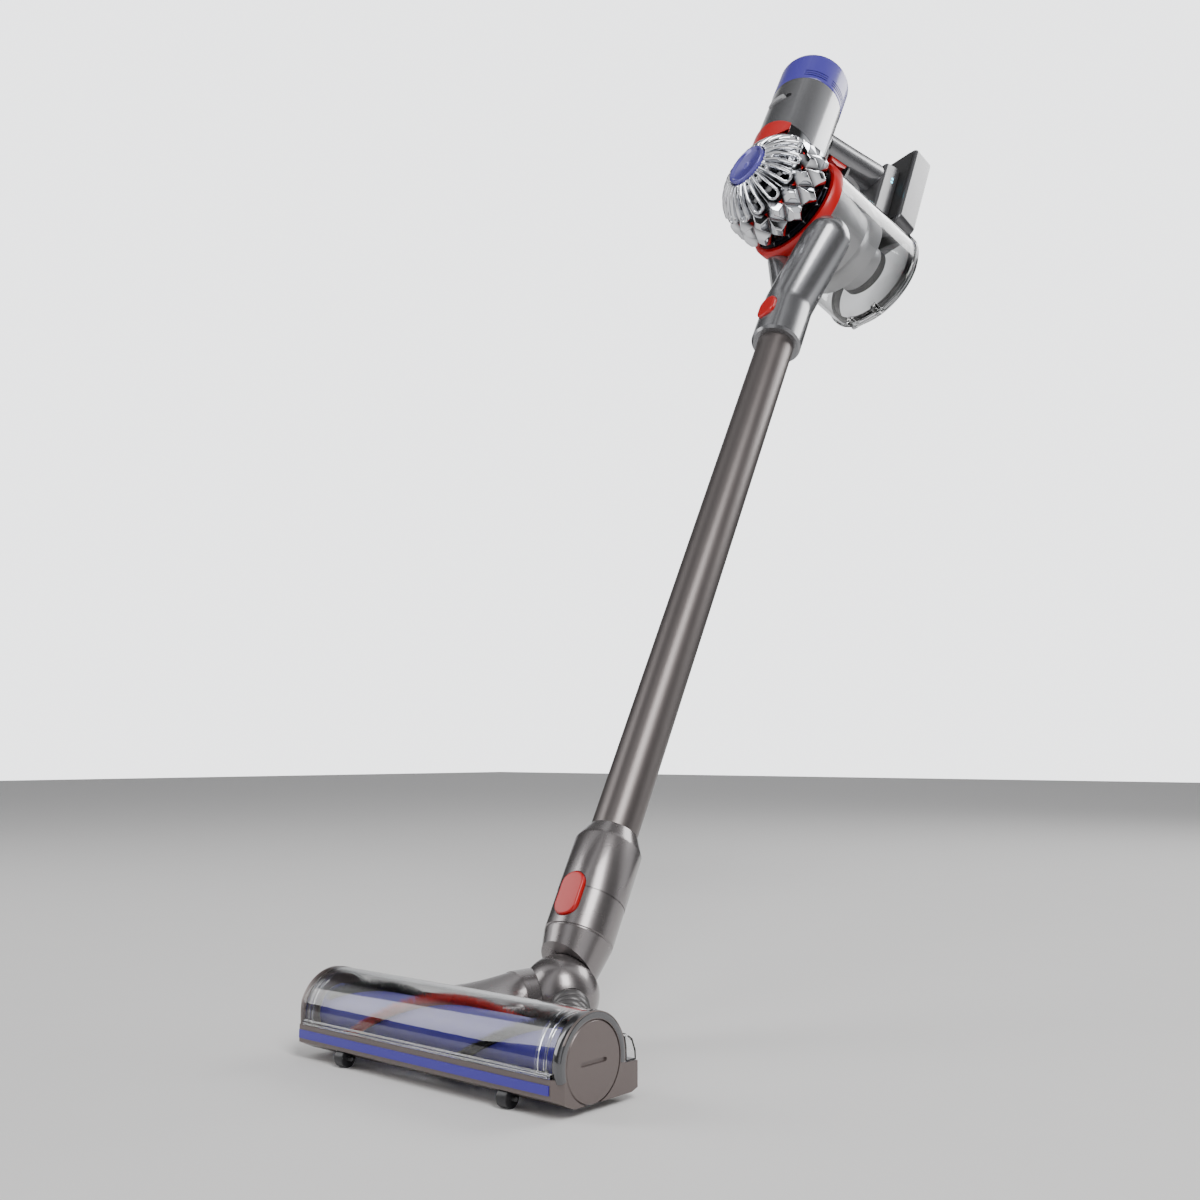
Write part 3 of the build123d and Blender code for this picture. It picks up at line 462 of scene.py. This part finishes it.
def makeFilterCap():
    # A round cup turned about the motor's axis, whose wall sinks along short level slits, with painted shade in
    # the slits.
    low, high, radius, wall = (capShape[k] for k in ("low", "high", "radius", "wall"))
    rows = np.r_[np.linspace(low, 1019, 5), np.linspace(1019.2, 1032, 66), np.linspace(1033, high - 5, 12)]
    side = np.stack([np.full(len(rows), radius), rows], -1)
    side[0, 0] -= 0.5
    crest = rounded([(radius, high - 5), (radius - 1.5, high - 0.8), (radius - 7, high - 0.4),
        (radius - 9, high - 1.6), (0.0, high - 2.6), (0.0, high - 5.6), (radius - 10, high - 5.2),
        (radius - wall, high - 8), (radius - wall, low)], 2.0, 4)
    crest[:, 0] = np.maximum(crest[:, 0], 0.0)
    outline = np.r_[side, crest[2:-2]]
    columns = 480
    angles = np.linspace(-np.pi, np.pi, columns, endpoint=False)
    degrees = np.degrees(angles)[None]
    cut = np.zeros((len(outline), columns))
    for row in capShape["slitRows"]:
        near = np.clip((capShape["slitHalf"] - np.abs(outline[:, 1] - row)) / 0.3, 0, 1)[:, None]
        near[len(side):] = 0
        for start, end in capShape["slitSpans"]:
            span = np.clip((degrees - start) / 1.2, 0, 1) * np.clip((end - degrees) / 1.2, 0, 1)
            cut = np.maximum(cut, near * span)
    points = turned(motorPlace, outline[:, 0][:, None] - cut * capShape["slitDepth"], outline[:, 1][:, None],
        angles[None])
    # The second colour is the painted shade laid in the slits by the rise attribute.
    material = makePaintedShadeMaterial("violetCap", (0.055, 0.038, 0.36), (0.012, 0.010, 0.03), 0.34, 0.0, Coat_Weight=0.3,
                          Coat_Roughness=0.1)
    piece = meshFrom("filterCap", points.reshape(-1, 3), gridQuads(len(outline), columns, True, True),
        "post_filter", material, {"rise": 1 - cut}, 35)
    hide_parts("filter_cap")


makeDisc()
makeFilterCap()
print("disc and cap made")


# ---- bristle strips

bristles = {"start": -92.0, "end": 106.0, "twist": -300.0, "root": 16.8, "tip": 24.3, "spacing": 0.42,
    "rows": 6, "stripWidth": 4.2, "thickness": 0.34}


def makeBristles(name, starts, material, node, seed):
    # Thin four-sided tapering hairs, set in rows along helices about the roll and leaning a little at random.
    rng = np.random.default_rng(seed)
    turn = math.radians(bristles["twist"]) / (bristles["end"] - bristles["start"])
    path = math.hypot(bristles["end"] - bristles["start"],
        bristles["root"] * turn * (bristles["end"] - bristles["start"]))
    count = int(path / bristles["spacing"])
    along = np.linspace(bristles["start"], bristles["end"], count)
    row = np.linspace(-0.5, 0.5, bristles["rows"]) * bristles["stripWidth"]
    hairs = []
    for start in starts:
        x, across = np.meshgrid(along, row, indexing="ij")
        x = x.ravel() + rng.uniform(-0.15, 0.15, x.size)
        angle = math.radians(start) + turn * (x - bristles["start"]) + across.ravel() / bristles["root"]
        hairs.append(np.stack([x, angle], -1))
    x, angle = np.concatenate(hairs).T
    lean = rng.normal(0, 0.03, x.size)
    drift = rng.normal(0, 0.25, x.size)
    tip = bristles["tip"] - np.abs(rng.normal(0, 0.35, x.size))
    half = bristles["thickness"] / 2
    corners = np.array([(-1, -1), (1, -1), (1, 1), (-1, 1)]) * half
    baseX = x[:, None] + corners[:, 0]
    baseA = angle[:, None] + corners[:, 1] / bristles["root"]
    base = turned(rollPlace, np.full_like(baseA, bristles["root"]), baseX, baseA)
    top = turned(rollPlace, tip, x + drift, angle + lean)[:, None]
    points = np.concatenate([base, top], 1).reshape(-1, 3)
    first = np.arange(x.size)[:, None, None] * 5
    faces = (first + np.array([(0, 1, 4), (1, 2, 4), (2, 3, 4), (3, 0, 4)])[None]).reshape(-1, 3)
    floorFaces = np.arange(x.size)[:, None] * 5 + np.array([3, 2, 1, 0])[None]
    piece = meshFrom(name, points, np.array(faces.tolist() + floorFaces.tolist(), dtype=object), "brush_roll",
        material)
    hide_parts(node)


makeBristles("redBristleStrip", (246,), materials["red_bristle"], "red_bristles", 3)
makeBristles("blackBristleStrips", (36, 141), materials["black_bristle"], "black_bristles",
    5)
print("bristles made")


# ---- neck hose

hoseShape = {"radius": 13.6, "ripple": 2.2, "ribs": 9, "bore": 10.2, "mouth": (19.5, -12.5, -3.5),
             "heading": (0.78, -0.6, -0.18), "reach": 30.0, "end": (42.0, 20.5),
             "rearReach": (0.0, 26.0, 0.5), "still": 8.0}


def makeHose():
    # A cubic curve from the elbow's mouth to the head's back wall, with a ring whose radius rises and falls.
    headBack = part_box("head_base")[1].y
    start = pivot + np.array(hoseShape["mouth"]) * mm
    heading = unit(hoseShape["heading"])
    end = np.array([hoseShape["end"][0] * mm, headBack + 0.2 * mm, hoseShape["end"][1] * mm])
    handles = [start, start + heading * hoseShape["reach"] * mm, end + np.array(hoseShape["rearReach"]) * mm,
        end]
    columns, rows = 64, 160
    t = np.linspace(0, 1, rows)[:, None]
    line = (handles[0] * (1 - t) ** 3 + 3 * handles[1] * t * (1 - t) ** 2 + 3 * handles[2] * t ** 2 * (1 - t)
            + handles[3] * t ** 3)
    tangent = np.gradient(line, axis=0)
    tangent /= np.linalg.norm(tangent, axis=1)[:, None]
    up = np.array([0.0, 0.0, 1.0])
    first = np.cross(tangent, up)
    first /= np.linalg.norm(first, axis=1)[:, None]
    second = np.cross(first, tangent)
    wave = 1 - np.abs(np.sin(np.pi * hoseShape["ribs"] * t[:, 0])) ** 0.7
    radius = (hoseShape["radius"] - hoseShape["ripple"] * wave) * mm
    angles = np.linspace(0, 2 * np.pi, columns, endpoint=False)
    ring = first[:, None] * np.cos(angles)[None, :, None] + second[:, None] * np.sin(angles)[None, :, None]
    outer = line[:, None] + ring * radius[:, None, None]
    inner = (line[:, None] + ring * hoseShape["bore"] * mm)[::-4]
    points = np.concatenate([outer, inner])
    piece = meshFrom("neckHose", points.reshape(-1, 3), gridQuads(len(points), columns, True, True), "head",
                     hoseMaterial)
    piece.parent = None
    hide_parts("neck_hose")
    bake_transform(piece, "elbow", "head", start=tuple(start + heading * hoseShape["still"] * mm),
             end=tuple(end + np.array([0, hoseShape["still"] / 2, 0]) * mm))


makeHose()
print("hose made")


# ---- head trim

headShape = {"left": -107.0, "right": 125.0, "nose": 27.6, "cap": 23.2,
    "hoops": ((24.6, 25.6, 104.5, 2.2), (24.2, 25.5, 111.0, 1.6), (24.6, 25.6, -99.2, 1.4),
    (24.2, 25.5, -95.6, 1.2)), "rails": ((-28.6, 24.6, 0.55), (-29.0, 22.6, 0.7)), "railSides": 14}


def makeHeadTrim():
    # Round arcs over the roll at both ends.
    nose, right, left = headShape["nose"], headShape["right"], headShape["left"]
    ringRight = rounded([(headShape["cap"], right - 6.1), (nose + 0.2, right - 6.1),
        (nose + 0.35, right - 2.5), (nose - 0.4, right + 0.15), (headShape["cap"], right + 0.15)], 0.8, 4)
    lathe("capHoop", rollPlace, ringRight, "head", darkRingMaterial, 120, 40, arc=(-10, 196))
    for number, (inner, outer, place, width) in enumerate(headShape["hoops"]):
        hoop = rounded([(inner, place), (outer, place), (outer, place + width), (inner, place + width)], 0.5,
            4)
        lathe(f"windowHoop{number + 1}", rollPlace, hoop, "head", ringMaterial, 96, 40,
            arc=(-8, 188))
    ringLeft = rounded([(nose - 2.2, left + 2.0), (nose + 0.2, left + 2.0), (nose + 0.2, left + 6.2),
        (nose - 2.2, left + 6.2)], 0.8, 4)
    lathe("leftHoop", rollPlace, ringLeft, "head", ringMaterial, 120, 40, arc=(-10, 190))


makeHeadTrim()


def makeLipRails():
    # Two thin round-edged clear strips lying along the window's lower edge, cut square at both ends.
    sides = headShape["railSides"]
    for number, (y, z, half) in enumerate(headShape["rails"]):
        around = np.linspace(0, 2 * np.pi, sides, endpoint=False)
        x = np.array([headShape["left"] + 6.5, headShape["right"] - 8.0])
        points = np.stack(np.broadcast_arrays(x[:, None], y + half * np.cos(around)[None],
            z + half * np.sin(around)[None]), -1)
        quads = gridQuads(2, sides, False, True).tolist() + [list(range(sides)),
            list(range(2 * sides - 1, sides - 1, -1))]
        meshFrom(f"lipRail{number + 1}", points.reshape(-1, 3) * mm, np.array(quads, dtype=object), "head",
                 ringMaterial, sharpAngle=40)


makeLipRails()
print("head trim made")

# ---- CAD nodes that keep their shape

for node in ("wand_tube", "neck_socket", "neck_cone", "elbow_ball", "neck_cradle", "inlet_collar",
        "inlet_duct", "motor_housing", "motor_saddle", "release_lever", "power_slider", "cyclone_ring",
        "dust_bin", "bin_lid", "shroud", "fine_dust_cup", "handle_right", "handle_left", "trigger",
        "body_spine", "battery_base", "battery_pack", "battery_gasket", "head_base", "window", "rear_cover",
        "rear_latch", "end_cap", "roll_core", "lower_button", "upper_button", "front_wheel_left",
        "front_wheel_right", "lid_seal", "dust_cup_seal", "lid_hinge_pin", "push_rod"):
    smoothCopy(node)
for node, thing in nodes.items():
    for spot in thing.material_slots:
        spot.material = materials[slotOf[node]]
print("CAD nodes dressed")


# ---- stage, lights and camera

stageSetup = {"floorHalf": 8.0, "floorColour": (0.80, 0.79, 0.78), "backdrop": 3.0, "bandShift": 3.0,
              "lights": (("keyLight", (1.6, -0.6, 2.2), (0, 0.4, 0.5), (0.9, 1.6), 50),
                         ("fillLight", (-1.8, -1.2, 1.4), (0, 0.4, 0.5), (1.0, 2.0), 22),
                         ("rimLight", (0.6, 2.4, 1.8), (0, 0.4, 0.6), (1.6, 1.0), 30))}


def makeStage():
    # A flat pale floor under the object.
    half = stageSetup["floorHalf"]
    mesh = bpy.data.meshes.new("floor")
    mesh.from_pydata([(-half, -half, 0), (half, -half, 0), (half, half, 0), (-half, half, 0)], [],
        [(0, 1, 2, 3)])
    floor = bpy.data.objects.new("floor", mesh)
    bpy.context.scene.collection.objects.link(floor)
    mesh.materials.append(makeMaterial("floorPaint", stageSetup["floorColour"], 0.75, grain=0.2, mottle=0.02,
        bump=0.05))


def makeWorld():
    # Pale surroundings with soft upright bands, so that round glossy parts show light and dark streaks.
    world = bpy.data.worlds.new("studio")
    bpy.context.scene.world = world
    world.use_nodes = True
    tree = world.node_tree
    back = tree.nodes["Background"]
    direction = tree.nodes.new("ShaderNodeTexCoord").outputs["Generated"]
    split = tree.nodes.new("ShaderNodeSeparateXYZ")
    tree.links.new(direction, split.inputs[0])
    bearing = mathNode(tree, "ARCTAN2", split.outputs["Y"], split.outputs["X"])
    shifted = mathNode(tree, "ADD", mathNode(tree, "MULTIPLY", bearing, 5.0), stageSetup["bandShift"])
    wave = mathNode(tree, "SINE", shifted, 0.0)
    bands = tree.nodes.new("ShaderNodeMapRange")
    tree.links.new(wave, bands.inputs["Value"])
    for label, value in (("From Min", -0.5), ("From Max", 0.9), ("To Min", 0.03), ("To Max", 0.95)):
        bands.inputs[label].default_value = value
    path = tree.nodes.new("ShaderNodeLightPath")
    plain = tree.nodes.new("ShaderNodeMix")
    plain.inputs[2].default_value = 0.0
    tree.links.new(path.outputs["Is Camera Ray"], plain.inputs[0])
    tree.links.new(bands.outputs[0], plain.inputs[2])
    plain.inputs[3].default_value = stageSetup["backdrop"]
    back.inputs["Color"].default_value = (0.97, 0.98, 1.0, 1)
    tree.links.new(plain.outputs[0], back.inputs["Strength"])


def makeLight(name, spot, target, size, energy):
    # A rectangular soft light at a spot, turned towards a target.
    lamp = bpy.data.lights.new(name, "AREA")
    lamp.shape = "RECTANGLE"
    lamp.size, lamp.size_y = size
    lamp.energy = energy
    thing = bpy.data.objects.new(name, lamp)
    bpy.context.scene.collection.objects.link(thing)
    aim = np.array(target, float) - np.array(spot, float)
    thing.rotation_euler = Vector(aim).to_track_quat("-Z", "Y").to_euler()
    thing.location = spot


cameraSetup = {"lens": 38.88, "sensor": 36.0, "location": (0.61427, -0.56100, 0.19904), "tilt": 96.61,
    "turn": 40.83}


def makeCamera():
    # A level camera near the floor, looking a little upwards.
    lens = bpy.data.cameras.new("view")
    lens.lens = cameraSetup["lens"]
    lens.sensor_width = cameraSetup["sensor"]
    camera = bpy.data.objects.new("view", lens)
    camera.location = cameraSetup["location"]
    camera.rotation_euler = (math.radians(cameraSetup["tilt"]), 0.0, math.radians(cameraSetup["turn"]))
    bpy.context.scene.collection.objects.link(camera)
    bpy.context.scene.camera = camera


makeStage()
makeWorld()
for lightValues in stageSetup["lights"]:
    makeLight(*lightValues)
makeCamera()
print("stage and camera made")
